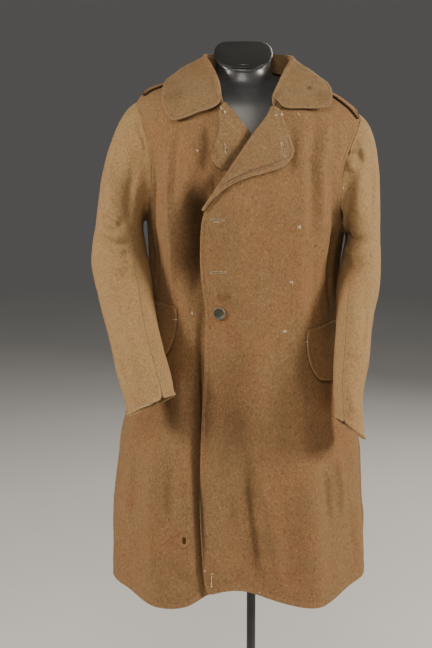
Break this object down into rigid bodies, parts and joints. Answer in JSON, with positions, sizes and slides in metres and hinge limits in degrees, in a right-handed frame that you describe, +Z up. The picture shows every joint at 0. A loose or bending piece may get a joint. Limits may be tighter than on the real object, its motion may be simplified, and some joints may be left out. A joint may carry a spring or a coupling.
{
  "type": "military greatcoat on dress form stand",
  "caption": "Double-breasted wool greatcoat with wide turned lapels, worn and missing most buttons, standing open at neck, cuffs and hem on a limbless dress form with pole and round base.",
  "frame": {"origin": "centre of the round base plate, on its underside", "axes": "+Z up along the pole; the coat's front faces -Y; +X is the wearer's left"},
  "size_m": [0.5892, 0.4225, 1.5588],
  "materials": {
    "body_cloth": "brown melange wool, napped, matt",
    "front_cloth": "brown melange wool, napped, matt",
    "sleeve_cloth": "lighter tan melange wool, napped, matt",
    "collar_cloth": "tan brown melange wool, napped, matt",
    "button_horn": "turned horn-like button, dark greenish brown with a paler rim, worn semi-gloss",
    "form_skin": "smooth dark grey semi-gloss",
    "form_cap": "smooth grey plate with a polished rim",
    "pole_metal": "dark semi-gloss paint",
    "base_metal": "dark semi-gloss paint"
  },
  "bodies": {
    "root": {"back": "body_cloth", "front_left": "front_cloth", "front_right": "front_cloth", "top_sleeve_left": "sleeve_cloth", "top_sleeve_right": "sleeve_cloth", "under_sleeve_left": "sleeve_cloth", "under_sleeve_right": "sleeve_cloth", "collar": "collar_cloth", "lapel_left": "collar_cloth", "lapel_right": "collar_cloth", "pocket_flap_left": "front_cloth", "pocket_flap_right": "front_cloth", "shoulder_strap_left": "body_cloth", "shoulder_strap_right": "body_cloth", "button": "button_horn", "dress_form": "form_skin", "neck_cap": "form_cap", "pole": "pole_metal", "base_plate": "base_metal"}
  },
  "joints": []
}
